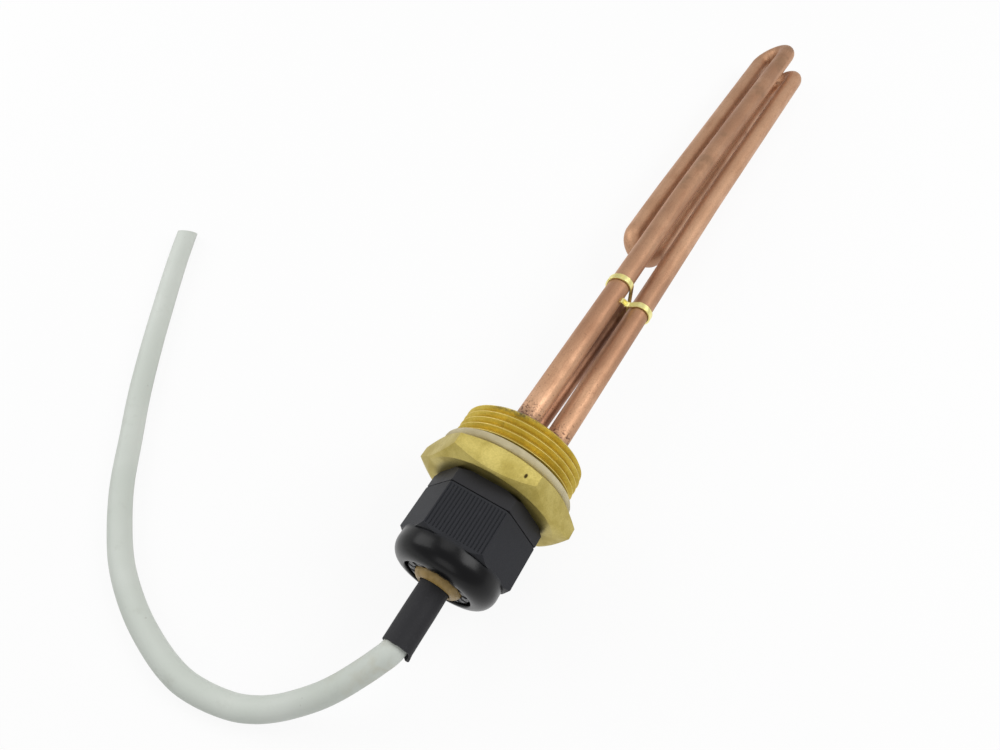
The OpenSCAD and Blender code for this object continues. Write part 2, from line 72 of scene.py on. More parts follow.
# Table: a plain white top in the plane that the plug's lower flat and the lowest tube rest on.
# Soft boxes and a bright room light it, and it keeps the heater's faint shadow.
class Flow:
    """One socket of a finish. Sums and products written on it become Math nodes."""

    def __init__(self, tree, socket=None):
        self.tree = tree
        self.socket = socket

    def feed(self, made, inputs):
        """Sets or links the sockets of a node that stands in the tree."""
        for key, value in inputs.items():
            if isinstance(value, Flow):
                self.tree.links.new(value.socket, made.inputs[key])
            else:
                made.inputs[key].default_value = value

    def node(self, kind, settings, inputs, out=0):
        """A new node: its type, its settings, and the values or links of its sockets."""
        made = self.tree.nodes.new(kind)
        for name, value in settings.items():
            setattr(made, name, value)
        self.feed(made, inputs)
        return Flow(self.tree, made.outputs[out])

    def math(self, operation, *values):
        """A Math node on values, each a flow or a number."""
        return self.node("ShaderNodeMath", {"operation": operation}, dict(enumerate(values)))

    def __add__(self, other):
        return self.math("ADD", self, other)

    def __sub__(self, other):
        return self.math("SUBTRACT", self, other)

    def __rsub__(self, other):
        return self.math("SUBTRACT", other, self)

    def __mul__(self, other):
        return self.math("MULTIPLY", self, other)

    __radd__, __rmul__ = __add__, __mul__

    def most(self, other):
        """The larger of this and another."""
        return self.math("MAXIMUM", self, other)

    def between(self, low, high):
        """0 below low, 1 above high and a smooth rise from one to the other."""
        smooth = {"interpolation_type": "SMOOTHSTEP"}
        return self.node("ShaderNodeMapRange", smooth, {0: self, 1: low, 2: high})

    def tint(self, under, over):
        """Colour under where this is 0 and colour over where it is 1, by a Mix node's colour sockets."""
        return self.node("ShaderNodeMix", {"data_type": "RGBA"}, {0: self, 6: under, 7: over}, 2)

    def grain(self, scale, detail=3.0, rough=0.55):
        """Noise over this place, scale to the metre."""
        sockets = {"Vector": self, "Scale": scale, "Detail": detail, "Roughness": rough}
        return self.node("ShaderNodeTexNoise", {}, sockets)

    def drawn(self, turn, stretch):
        """This place seen along a turned axis and stretched along it, for marks that run one way."""
        sockets = {"Vector": self, "Rotation": turn, "Scale": stretch}
        return self.node("ShaderNodeMapping", {"vector_type": "TEXTURE"}, sockets)

    def bump(self, depth):
        """A normal from this height, depth metres deep."""
        return self.node("ShaderNodeBump", {}, {"Strength": 1.0, "Distance": depth, "Height": self})


def shade(red, green, blue):
    """A colour in 0 to 255, as the linear colour that a shader takes."""
    linear = []
    for part in (red, green, blue):
        share = part / 255
        linear.append(share / 12.92 if part < 10 else ((share + 0.055) / 1.055) ** 2.4)
    return (*linear, 1)


def ray_kinds(root):
    """1 or 0 for a ray straight from the camera, one off a gloss and one through a clear piece."""
    kinds = ("Is Camera Ray", "Is Glossy Ray", "Is Transmission Ray")
    return [root.node("ShaderNodeLightPath", {}, {}, kind) for kind in kinds]


floor_z = -23.02 * MM
table_half = 4.0
corners = [(x * table_half, y * table_half, floor_z) for x, y in ((-1, -1), (1, -1), (1, 1), (-1, 1))]
top = bpy.data.meshes.new("table_top")
top.from_pydata(corners, [], [(0, 1, 2, 3)])
table_top = bpy.data.objects.new("table_top", top)
scene.collection.objects.link(table_top)
table_top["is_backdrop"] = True
laminate = bpy.data.materials.new("white_laminate")
laminate.use_nodes = True
sheet = Flow(laminate.node_tree)
direct, glossed, through = ray_kinds(sheet)
seen = direct.most(glossed.most(through))
lit = sheet.node("ShaderNodeBsdfDiffuse", {}, {"Color": (0.86, 0.86, 0.86, 1)})
white = sheet.node("ShaderNodeEmission", {}, {"Color": (1, 1, 1, 1), "Strength": 1.0})
surface = sheet.node("ShaderNodeMixShader", {}, {0: seen * 0.9, 1: lit, 2: white})
sheet.feed(laminate.node_tree.nodes["Material Output"], {"Surface": surface})
top.materials.append(laminate)

world = bpy.data.worlds.new("studio_room")
scene.world = world
world.use_nodes = True
room = Flow(world.node_tree)
direct, glossed, through = ray_kinds(room)
brightness = direct.most(through) * 0.66 + glossed * 0.2 + 0.34
room.feed(world.node_tree.nodes["Background"], {"Color": (1, 1, 1, 1), "Strength": brightness})

lit_point = Vector((0.05, 0.0, 0.0))
for name, place, size, power in (
    ("soft_box_right", (0.30, -0.45, 0.55), 0.45, 2.9),
    ("soft_box_left", (0.0, 0.65, 0.40), 0.55, 2.2),
    ("soft_box_over", (0.38, 0.17, 0.80), 0.45, 1.0),
    ("soft_box_near", (-0.55, 0.0, 0.35), 0.35, 0.45),
):
    lamp = bpy.data.objects.new(name, bpy.data.lights.new(name, "AREA"))
    lamp.data.size = size
    lamp.data.energy = power
    lamp.location = place
    lamp.rotation_euler = (lit_point - Vector(place)).to_track_quat("-Z", "Y").to_euler()
    scene.collection.objects.link(lamp)


# Supply cable: round PVC-jacketed cord, laid loose on the table and cut off bare at its far end.
# It leaves the gland straight, sinks to the table under its own weight and curls round beside the plug.
# Side cutters left its end on a slant, where three cores of copper strands lie just inside the jacket.
def smooth_line(points, steps):
    """A smooth line through points, with steps places to each stretch."""
    line = []
    for i in range(len(points) - 1):
        a, b, c, d = (points[max(0, min(len(points) - 1, i + k))] for k in (-1, 0, 1, 2))
        slope, bend, ease = c - a, 2 * a - 5 * b + 4 * c - d, 3 * b - a - 3 * c + d
        for s in range(steps):
            t = s / steps
            line.append(0.5 * (2 * b + slope * t + bend * t ** 2 + ease * t ** 3))
    return line + [points[-1]]


def full_turn(steps):
    """The angles of a full turn, in so many equal steps."""
    return [math.tau * j / steps for j in range(steps)]


def swept(line, radius, sides):
    """Rings of points round a line, without twist. radius is a number or one for each place."""
    rings, side = [], None
    for i, p in enumerate(line):
        heading = (line[min(i + 1, len(line) - 1)] - line[max(i - 1, 0)]).normalized()
        side = side or heading.cross(Vector((0, 0, 1))).normalized()
        side = (side - heading * side.dot(heading)).normalized()
        up = side.cross(heading)
        r = radius if isinstance(radius, float) else radius[i]
        rings.append([p + r * (math.cos(a) * side + math.sin(a) * up) for a in full_turn(sides)])
    return rings


def skinned(rings, ends=True):
    """Points and faces of a skin over rings, with its two ends closed or left open."""
    n = len(rings[0])
    last = n * (len(rings) - 1)
    faces = []
    for start in range(0, last, n):
        for j in range(n):
            k = (j + 1) % n
            faces.append((start + j, start + k, start + n + k, start + n + j))
    if ends:
        faces += [tuple(range(n)), tuple(range(last, last + n))]
    return [p for ring in rings for p in ring], faces


def piece(name, skins, material, body="heater", crease=35, edge=0.0):
    """One object from skins, each a pair of points and faces, riding on a body of the heater."""
    weld = 0.002 * MM
    points, faces = [], []
    for more, over in skins:
        faces += [tuple(k + len(points) for k in face) for face in over]
        points += more
    mesh = bpy.data.meshes.new(name)
    mesh.from_pydata(points, [], faces)
    work = bmesh.new()
    work.from_mesh(mesh)
    bmesh.ops.remove_doubles(work, verts=work.verts, dist=weld)
    bmesh.ops.dissolve_degenerate(work, edges=work.edges, dist=weld)
    bmesh.ops.recalc_face_normals(work, faces=work.faces)
    if edge:
        inner = [e for e in work.edges if len(e.link_faces) == 2]
        sharp = [e for e in inner if e.calc_face_angle() > math.radians(crease)]
        bmesh.ops.bevel(work, geom=sharp, offset=edge, segments=2, profile=0.6, affect="EDGES",
                        clamp_overlap=True)
    work.to_mesh(mesh)
    work.free()
    mesh.shade_smooth()
    mesh.set_sharp_from_angle(angle=math.radians(crease))
    mesh.materials.append(material)
    made = bpy.data.objects.new(name, mesh)
    scene.collection.objects.link(made)
    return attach(made, body)


def finish(name):
    """A new material, with its root for expressions and the place on the piece in metres."""
    material = bpy.data.materials.new(name)
    material.use_nodes = True
    root = Flow(material.node_tree)
    return material, root, root.node("ShaderNodeTexCoord", {}, {}, "Object")


def coat(material, root, **sockets):
    """Sets the shader's own sockets, or links what changes over the surface."""
    shader = material.node_tree.nodes["Principled BSDF"]
    root.feed(shader, {key.replace("_", " "): value for key, value in sockets.items()})


def along(place, axis):
    """One coordinate of a place."""
    return place.node("ShaderNodeSeparateXYZ", {}, {0: place}, axis)


cable_r, cable_sides = 3.7 * MM, 28
mouth_x = -40.6
lay_z = -19.3
route = [Vector(p) * MM for p in (
    (mouth_x, 0, 0), (-50, 0.1, 0), (-60.6, 0.4, 0), (-66, 2.7, -1.9), (-71, 5.8, -4.8), (-76, 9.2, -7.6),
    (-80.5, 13, -10.5), (-85, 17.8, -13.6), (-89, 22.8, -16.2), (-92.5, 28.5, -18.1), (-95.2, 35.3, lay_z),
    (-97, 45, lay_z), (-97, 54, lay_z), (-94.5, 65, lay_z), (-89.5, 78, lay_z), (-82, 91, lay_z),
    (-73, 101.5, lay_z), (-62, 111.8, lay_z), (-48, 122.2, lay_z), (-33, 133.2, lay_z), (-15, 145, lay_z),
    (4.5, 157, lay_z), (20.5, 166.5, lay_z), (33, 173.4, lay_z))]
cable_line = smooth_line(route, 8)
cable_length = sum((b - a).length for a, b in zip(cable_line, cable_line[1:]))

jacket, root, place = finish("cable_jacket")
x, y = along(place, "X"), along(place, "Y")
handled = x.between(-0.088, -0.064) * (1 - y.between(0.004, 0.03))
yellowed = handled * place.grain(260, 3).between(0.4, 0.8) * 0.5
smudge = place.grain(160, 4, 0.65).between(0.56, 0.80) * 0.25
specks = place.grain(420, 2).between(0.72, 0.77) * 0.25
cloud = place.grain(28, 3).between(0.35, 0.65)
pale = cloud.tint(shade(208, 213, 206), shade(201, 207, 199))
pale = yellowed.tint(pale, shade(186, 181, 158))
pale = smudge.tint(pale, shade(166, 169, 158))
pale = specks.tint(pale, shade(134, 130, 112))
coat(jacket, root, Base_Color=pale, Roughness=cloud * 0.1 + 0.52,
     Normal=(place.grain(900, 3) + place.grain(130, 2) * 0.8).bump(0.00004))

tip = cable_line[-1]
back = (cable_line[-2] - tip).normalized()
cut_slope, cut_back, next_ring = 0.6, 1.5 * MM, 0.55
bore_share, hollow = 0.74, 1.2 * MM


def slanted(p):
    """A point of the far end, moved to the slanting cut of the side cutters."""
    return p + back * (cut_slope * (p.z - tip.z) - cut_back)


rings = swept(cable_line, cable_r, cable_sides)
rings[-2] = [p + (slanted(q) - q) * next_ring for p, q in zip(rings[-2], rings[-1])]
rings[-1] = [slanted(p) for p in rings[-1]]
inner = [slanted(tip) + (p - slanted(tip)) * bore_share for p in rings[-1]]
deep = [p + back * hollow for p in inner]
cable = piece("cable_jacket_tube", [skinned(rings + [inner, deep])], jacket)
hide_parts("supply_cable")

root_line = [Vector((x, 0, 0)) * MM for x in (-17.2, -25, -33, mouth_x)]
cable_root = piece("cable_root", [skinned(swept(root_line, cable_r, cable_sides))], jacket)

side = back.cross(Vector((0, 0, 1))).normalized()
up = side.cross(back)
core_ring_r, strand_ring_r = 1.75 * MM, 0.38 * MM
core_profile = ((6, 0.9), (3, 0.9), (0.5, 0.9), (0.35, 0.78))
strand_profile = ((1.0, 0.18), (0.3, 0.18), (0.22, 0.13))


def beside(middle, angle, r):
    """A point of the cut end at a distance r from middle, at an angle."""
    return middle + (side * math.cos(angle) + up * math.sin(angle)) * r


def stub(middle, profile, sides):
    """A short round stub at the cut end, from depths behind middle and radii, in millimetres."""
    line = [middle + back * depth * MM for depth, r in profile]
    return skinned(swept(line, [r * MM for depth, r in profile], sides))


cut_cores = []
for name, angle, hue, slot in (
    ("cut_core_brown", 70, (92, 58, 40), "core_brown"),
    ("cut_core_blue", 190, (52, 86, 150), "core_blue"),
    ("cut_core_green", 310, (84, 128, 60), "core_green"),
):
    skin, root, place = finish(name)
    worn = place.grain(1500, 3).between(0.4, 0.7)
    darker = [0.8 * part for part in hue]
    coat(skin, root, Base_Color=worn.tint(shade(*hue), shade(*darker)), Roughness=worn * 0.15 + 0.4)
    middle = slanted(beside(tip, math.radians(angle), core_ring_r))
    core = piece(name, [stub(middle, core_profile, 20)], skin)
    strand, root, place = finish(name + "_strands")
    bright = place.grain(6000, 2).between(0.35, 0.6)
    copper_hue = bright.tint(shade(120, 66, 40), shade(214, 140, 96))
    coat(strand, root, Base_Color=copper_hue, Metallic=1.0, Roughness=0.35)
    centres = [beside(middle, a, strand_ring_r) for a in full_turn(6)] + [middle]
    wires = [stub(centre, strand_profile, 10) for centre in centres]
    strands = piece(name + "_strands", wires, strand)
    cut_cores += [core, strands]


# Shrink sleeve: black heat-shrink tubing, loosely shrunk, that thickens the cable for the gland to grip.
# It is cut square with a blade, and a scrap of the cut still hangs on at its lower edge.
def spoke(angle, r=1.0):
    """A step of length r across the heater's axis, at an angle."""
    return Vector((r * math.cos(angle), r * math.sin(angle)))


def turned(profile, at):
    """Rings of a turned form from places along the axis and radii, in millimetres, at angles."""
    return [[Vector((x, *spoke(a, r))) * MM for a in at] for x, r in profile]


def looped(rings):
    """A skin over the rings of a hollow form, which goes on from the last ring to the first."""
    return skinned(rings + [rings[0]], ends=False)


charcoal, root, place = finish("sleeve_plastic")
lines = place.drawn((0, 0, 0), (8, 1, 1)).grain(1600, 3)
dust = place.grain(500, 5, 0.7).between(0.55, 0.8)
coat(charcoal, root, Base_Color=dust.tint(shade(25, 25, 29), shade(50, 50, 54)),
     Roughness=0.66 + 0.12 * dust, Specular_IOR_Level=0.4,
     Normal=(lines * 0.6 + place.grain(1100, 4)).bump(0.0001))
sleeve_r, sleeve_bore = 4.75, 4.1
ripple, ragged = 0.10, 0.22
scrap_angle, scrap_half, scrap_hang, scrap_flare = 205, 42, 1.2, 0.2
stations = [-19.2, -24, -30, -36, -41, -45, -49, -53, -56, -58.5, -60.0, -60.6]
last = len(stations) - 1
turns = full_turn(48)
outside = []
for k, station in enumerate(stations):
    ring = []
    for a in turns:
        r = sleeve_r + ripple * noise.noise(Vector((station * 0.11, *spoke(a, 3))))
        cut = station
        if k >= last - 1:
            cut += ragged * noise.noise(Vector((7.0, *spoke(a, 2.2))))
        if k == last:
            scrap = max(0.0, 1 - abs(math.degrees(a) - scrap_angle) / scrap_half)
            cut -= scrap_hang * min(1.0, 1.5 * scrap)
            r += scrap_flare * min(1.0, 1.7 * scrap)
        ring.append(Vector((cut, *spoke(a, r))) * MM)
    outside.append(ring)
inside = [[Vector((p.x, *(p.yz * sleeve_bore / sleeve_r))) for p in outside[-1]]]
inside += turned([(x, sleeve_bore) for x in (-58, -50, -40, -19.2)], turns)
sleeve = piece("shrink_sleeve_tube", [looped(outside + inside)], charcoal)
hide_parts("shrink_sleeve")
[sleeve, cable_root] + cut_cores


# Gland body: black glass-filled nylon, moulded, screwed into the plug by its own thread.
# Its hexagon is plain on all six flats; behind it a coarse thread on the stem takes the cap nut.
def hexagon(flats, corner_r, spread, grooves=(), depth=0.0):
    """Outline across a hexagon bar, two flats level, with round corners and grooves on every other flat."""
    half, to_corner = flats / 2, math.radians(30)
    flat_half = (half - corner_r) * math.tan(to_corner)
    groove_half = 0.28
    outline = []
    for k in range(6):
        facing = math.radians(90 + 60 * k)
        out = spoke(facing)
        over = Vector((-out.y, out.x))
        if grooves and k % 2 == 0:
            section = ((-groove_half, 0.0), (0.0, depth), (groove_half, 0.0))
            marks = [(groove + step, sunk) for groove in grooves for step, sunk in section]
        else:
            marks = [(flat_half * (2 * j / spread - 1), 0.0) for j in range(1, spread)]
        marks = [(-flat_half, 0.0)] + marks + [(flat_half, 0.0)]
        outline += [out * (half - sunk) + over * step for step, sunk in marks]
        if corner_r:
            hub = spoke(facing + to_corner, (half - corner_r) / math.cos(to_corner))
            outline += [hub + spoke(facing + math.radians(t), corner_r) for t in (12, 24, 36, 48)]
    return outline


def hex_end(outline, x, face_r, slope, way):
    """Two rings that end a hexagon bar at x: its round face's edge, and the chamfer's edge on the flats."""
    face = [Vector((x, *(p * min(1.0, face_r / p.length)))) * MM for p in outline]
    flank = [Vector((x + way * max(0.0, p.length - face_r) * slope, *p)) * MM for p in outline]
    return face, flank


def ring_at(outline, x):
    """The outline itself as a ring at x."""
    return [Vector((x, *p)) * MM for p in outline]


def round_at(outline, x, r):
    """A round ring at x with a point for each point of the outline."""
    return [Vector((x, *(p.normalized() * r))) * MM for p in outline]


def thread_rise(x, angle, pitch, root_flat, flank):
    """How high a screw thread stands at x and an angle: 0 at its root and 1 at its crest."""
    u = (x / pitch - angle / math.tau) % 1.0
    return min(1.0, max(0.0, (abs(2 * u - 1) - root_flat) / flank))


def shares(steps):
    """From 0 to 1 in so many equal steps."""
    return [k / steps for k in range(steps + 1)]


def screwed(start, end, steps, at, radius):
    """Rings of a threaded stretch, whose radius is worked out from each place along it and angle."""
    places = [start + (end - start) * t for t in shares(steps)]
    return [[Vector((x, *spoke(a, radius(x, a)))) * MM for a in at] for x in places]


nylon, root, place = finish("gland_nylon")
satin = place.grain(2600, 3)
flow_marks = place.grain(70, 4, 0.6).between(0.4, 0.7)
rubbed = place.grain(260, 5, 0.7).between(0.60, 0.82)
moulded = flow_marks.tint(shade(43, 43, 46), shade(48, 48, 51))
coat(nylon, root, Base_Color=rubbed.tint(moulded, shade(56, 56, 60)),
     Roughness=0.54 + 0.12 * flow_marks, Specular_IOR_Level=0.22,
     Normal=(satin + place.grain(340, 2) * 1.5).bump(0.00005))
gland_flats, narrow_face_r, wide_face_r = 33, 17.5, 18.65
seat_x, band_x, stem_x, ledge_x, entry_x = -11.5, -16.7, -31.7, -24.7, -5.7
core_r, bush_bore, cable_bore = 12.9, 11.1, 9.1
entry_r, entry_bore, undercut = 12.5, 10.5, 0.05
band_shape = hexagon(gland_flats, 0.35, 36)
chamfer = math.tan(math.radians(40))
front_face, front_flank = hex_end(band_shape, seat_x, narrow_face_r, chamfer, -1)
back_face, back_flank = hex_end(band_shape, band_x, wide_face_r, chamfer, 1)
band = [round_at(band_shape, seat_x - undercut, entry_r), front_face, front_flank, back_flank, back_face]
stem = [round_at(band_shape, x, r) for x, r in (
    (band_x, core_r), (stem_x, core_r), (stem_x, bush_bore), (ledge_x, bush_bore), (ledge_x, cable_bore),
    (seat_x, cable_bore), (entry_x, entry_bore), (entry_x, entry_r))]
gland = piece("gland_body_moulding", [looped(band + stem)], nylon, edge=0.18 * MM)
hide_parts("gland_body")

nut_pitch, stem_r, groove_depth, stem_end_r = 2.0, 14.0, 0.9, 13.1
thread_start, thread_end, thread_bore = -16.5, -31.68, 12.85
fine = full_turn(96)


def stem_thread_r(x, angle):
    """Radius of the stem's thread, which is chamfered at its end."""
    rise = thread_rise(x, angle, nut_pitch, 0.2, 0.6)
    return min(stem_r - groove_depth * (1 - rise), stem_end_r + max(0.0, x - thread_end))


stem_rings = screwed(thread_start, thread_end, 120, fine, stem_thread_r)
stem_rings += turned([(thread_end, thread_bore), (thread_start, thread_bore)], fine)
stem_thread = piece("gland_stem_thread", [looped(stem_rings)], nylon, crease=50)


# Clamp insert: a slotted nylon ring whose fingers close on the rubber seal as the cap nut comes home.
# The seal is a tan rubber bush, pushed over the sleeved cable and swollen a little at its outer end.
claw_nylon, root, place = finish("claw_nylon")
gloss = place.grain(700, 3).between(0.4, 0.7)
coat(claw_nylon, root, Base_Color=gloss.tint(shade(18, 18, 20), shade(30, 30, 33)),
     Roughness=0.34 + 0.15 * gloss, Normal=place.grain(1500, 2).bump(0.00004))
claw_fingers, claw_bore, claw_r = 14, 7.85, 10.8
finger_sections = (
    (-28.0, claw_bore, claw_r, 0.5), (-34, claw_bore, claw_r, 0.5), (-38.8, claw_bore, claw_r, 0.5),
    (-39.8, 7.95, 10.3, 0.6), (-40.1, 8.4, 9.7, 0.9))
spread = [j / 4 - 0.5 for j in range(5)]
fingers = []
for middle in full_turn(claw_fingers):
    rings = []
    for x, low, high, slack in finger_sections:
        ring = []
        for r, way in ((high, 1), (low, -1)):
            width = 2 * (math.pi / claw_fingers - slack / r)
            ring += [Vector((x, *spoke(middle + way * width * s, r))) * MM for s in spread]
        rings.append(ring)
    fingers.append(skinned(rings))
hoop = turned([(-25, claw_bore), (-25, claw_r), (-29, claw_r), (-29, claw_bore)], turns)
claw = piece("clamp_fingers", fingers + [looped(hoop)], claw_nylon, "clamp_insert")
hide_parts("gland_claw")

bush, root, place = finish("seal_rubber")
bloom = place.grain(380, 4, 0.65).between(0.38, 0.72)
coat(bush, root, Base_Color=bloom.tint(shade(163, 135, 77), shade(139, 112, 56)),
     Roughness=0.42 + 0.16 * bloom, Normal=place.grain(1300, 3).bump(0.00006))
seal_bore, seal_r = 5.05, 7.75
seal_profile = [(-25, seal_bore), (-25, seal_r), (-39.6, seal_r), (-40.4, 7.6), (-41.0, 7.2),
                (-41.5, 6.6), (-41.8, 6.0), (-41.95, 5.5), (-41.7, seal_bore)]
seal = piece("seal_bush", [looped(turned(seal_profile, turns))], bush, "clamp_insert", 50)
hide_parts("gland_seal")


# Cap nut: black nylon moulding that screws down the gland's stem, with grip grooves on every other flat.
# The grooved hexagon is matt; the domed end came off a polished mould and is glossy.
cap_nylon, root, place = finish("cap_nylon")
polished = 1 - along(place, "X").between(-0.0335, -0.0315)
satin = place.grain(2400, 3)
rubbed = place.grain(300, 5, 0.7).between(0.58, 0.82) * (1 - polished)
scuff = place.grain(900, 4, 0.7).between(0.62, 0.8) * polished
dark = rubbed.tint(shade(44, 45, 49), shade(56, 57, 61))
dark = polished.tint(dark, shade(5, 5, 7))
dark = scuff.tint(dark, shade(19, 19, 24))
coat(cap_nylon, root, Base_Color=dark, Roughness=0.62 - 0.34 * polished + 0.12 * scuff,
     Specular_IOR_Level=0.17, Coat_Weight=polished * 0.13, Coat_Roughness=0.24,
     Normal=(satin * (1 - polished * 0.85) + place.grain(260, 2) * 0.6).bump(0.00005))
grooves, groove_pitch, rib_depth = 17, 1.12, 0.3
groove_places = [groove_pitch * (k - grooves // 2) for k in range(grooves)]
nut_corner, flat_steps = 0.3, 52
plain = hexagon(gland_flats, nut_corner, flat_steps, groove_places)
ribbed = hexagon(gland_flats, nut_corner, flat_steps, groove_places, rib_depth)
nut_x, nut_back_x, nut_bore, collar_r = -17.0, -32.5, 14.3, 15.5
front_face, front_flank = hex_end(plain, nut_x, wide_face_r, chamfer, -1)
back_face, back_flank = hex_end(plain, nut_back_x, narrow_face_r, chamfer, 1)
shell = [round_at(plain, nut_x, nut_bore), front_face, front_flank]
shell += [ring_at(plain, -17.55), ring_at(ribbed, -17.8), ring_at(ribbed, -31.1), ring_at(plain, -31.3)]
shell += [back_flank, back_face, round_at(plain, nut_back_x, collar_r)]
dome_r, dome_round, shoulder_x = 17.0, 5.4, -35.2
rim_r, nut_mouth_r = dome_r - dome_round, 11.2
dome = [(-31.6, collar_r), (-31.6, 16.6), (-31.75, 16.85), (-32.1, dome_r), (shoulder_x, dome_r)]
for t in range(6, 90, 6):
    bend = spoke(math.radians(t), dome_round)
    dome.append((shoulder_x - bend.y, rim_r + bend.x))
dome += [(mouth_x, rim_r), (-40.57, 11.45), (-40.47, 11.32), (-40.3, 11.23), (-40.0, nut_mouth_r)]
dome += [(-38.1, nut_mouth_r), (-32.7, nut_bore), (nut_x, nut_bore)]
nut = piece("cap_nut_moulding", [looped(shell), looped(turned(dome, fine))], cap_nylon, "cap_nut", 30)
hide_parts("gland_cap_nut")


# Plug: turned from brass hexagon bar, chamfered both ends, with a pipe thread cut on its shank,
# eleven turns to the inch, and a relief behind the thread for the gasket. One flat has a small pit,
# the thread is darker in its roots, and flux from the brazing stained the end face.
def brass_finish(name, light, dull, sheen, marks):
    """Brass, tarnished in clouds. Each mark gives, for a place, where another hue lies and that hue."""
    brass, root, place = finish(name)
    cloud = place.grain(120, 4, 0.6).between(0.35, 0.68)
    sawn = place.drawn((0, 0, 0), (4, 1, 1)).grain(900, 4, 0.7)
    stain = place.grain(330, 5, 0.7).between(0.62, 0.80)
    speckle = place.grain(2200, 3, 0.7).between(0.35, 0.68)
    hue = cloud.tint(shade(*light), shade(*dull))
    hue = (speckle * 0.3).tint(hue, shade(*(0.8 * part for part in dull)))
    hue = (stain * 0.6).tint(hue, shade(128, 108, 56))
    for mark in marks:
        where, second = mark(place)
        hue = where.tint(hue, shade(*second))
    coat(brass, root, Base_Color=hue, Metallic=1.0, Roughness=sheen + 0.12 * cloud + 0.1 * stain,
         Normal=(sawn + place.grain(1500, 3) * 0.5).bump(0.00004))
    return brass


def apart(place, point):
    """How far a place lies from a point, which is in millimetres."""
    gap = {"operation": "DISTANCE"}
    return place.node("ShaderNodeVectorMath", gap, {0: place, 1: Vector(point) * MM}, "Value")


def off_axis(place):
    """The square of a place's distance from the plug's axis."""
    y, z = along(place, "Y"), along(place, "Z")
    return y * y + z * z


def outside_r(place, low, high):
    """0 nearer the axis than low and 1 farther out than high, both in metres."""
    return off_axis(place).between(low ** 2, high ** 2)


def small_pit(place):
    """A dark pit in the upper flat, longer along the plug than across it."""
    stretch = 1.67
    pit = (-7.682 / stretch, -9.33, 23)
    near = apart(place.drawn((0, 0, 0), (stretch, 1, 1)), pit)
    return 1 - near.between(0.0003, 0.0006), (66, 54, 30)


def painted_gland_shade(place):
    """Painted shade and shadow on the face that the gland is screwed down on, darkest close to the gland.
    """
    on_face = 1 - along(place, "X").between(-0.0114, -0.0108)
    return on_face * (1 - outside_r(place, 0.0172, 0.0206)) * 0.6, (92, 82, 42)


def crest_highlight(place):
    """A painted highlight: paler brass along the tops of the thread, all the way round."""
    return outside_r(place, 0.02084, 0.02094), (222, 202, 124)


def darker_roots(place):
    """Darker brass between the crests of the thread."""
    off_end = 1 - along(place, "X").between(0.0102, 0.0106)
    return (1 - outside_r(place, 0.01955, 0.0199)) * off_end * 0.6, (152, 112, 30)


def facing_rings(place):
    """Fine rings that the lathe tool left on the end face."""
    out = off_axis(place)
    sockets = {"W": out.math("SQRT", out), "Scale": 900, "Detail": 3}
    ring = place.node("ShaderNodeTexNoise", {"noise_dimensions": "1D"}, sockets)
    return along(place, "X").between(0.0105, 0.0109) * ring.between(0.40, 0.66) * 0.55, (158, 134, 58)


def flux_stain(place):
    """Grey flux that ran from the brazed legs over the rim of the end face."""
    near = 1 - apart(place, (11, 4, 16)).between(0.004, 0.0115)
    blotch = place.grain(520, 5, 0.7).between(0.40, 0.62)
    return near * along(place, "X").between(0.0088, 0.0101) * blotch * 0.9, (98, 93, 76)


# The plug's brass carries the painted shade by the gland and the small pit.
plug_brass = brass_finish("plug_brass", (199, 183, 108), (181, 164, 88), 0.44, (painted_gland_shade, small_pit))
plug_flats, hex_face_r, hex_x, end_x = 46, 22, -3.0, 11.0
relief_r, plug_bore, chamber_x = 19.2, 12.65, -5.5
bar = hexagon(plug_flats, 0, 32)
slope = math.tan(math.radians(28))
front_face, front_flank = hex_end(bar, hex_x, hex_face_r, slope, -1)
back_face, back_flank = hex_end(bar, seat_x, hex_face_r, slope, 1)
hex_rings = [round_at(bar, chamber_x, plug_bore), round_at(bar, seat_x, plug_bore)]
hex_rings += [back_face, back_flank, front_flank, front_face, round_at(bar, hex_x, relief_r)]
plug_hex = piece("plug_hexagon", [looped(hex_rings)], plug_brass, edge=0.16 * MM, crease=25)
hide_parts("screw_plug")

# The thread takes a painted highlight on its crests, darker roots, the facing rings and the flux.
thread_marks = (crest_highlight, darker_roots, facing_rings, flux_stain)
thread_brass = brass_finish("thread_brass", (220, 196, 93), (201, 177, 73), 0.48, thread_marks)
pitch, crest_r, full_depth, cut_share = 2.309, 20.955, 1.48, 0.92
thread_x, thread_phase, run_out_length, lead_in_x = -0.4, 0.35, 0.6, 10.1
around = full_turn(192)


def plug_thread_r(x, angle):
    """Radius of the pipe thread, which runs out into the relief and is chamfered at the end face."""
    rise = thread_rise(x - thread_phase, angle, pitch, 0.05, 0.90)
    cut_r = crest_r - full_depth * (1 - rise) * cut_share
    run_out = min(1.0, max(0.0, (x - thread_x) / run_out_length))
    return min(relief_r + (cut_r - relief_r) * run_out, crest_r - max(0.0, x - lead_in_x))


relief = turned([(hex_x, relief_r)], around)
thread_rings = screwed(thread_x, end_x, 132, around, plug_thread_r)
end_face = turned([(end_x, r) for r in (19.6, 12.0, 4.0, 0.4)], around)
shank = piece("plug_shank", [skinned(relief + thread_rings + end_face)], thread_brass, crease=50)


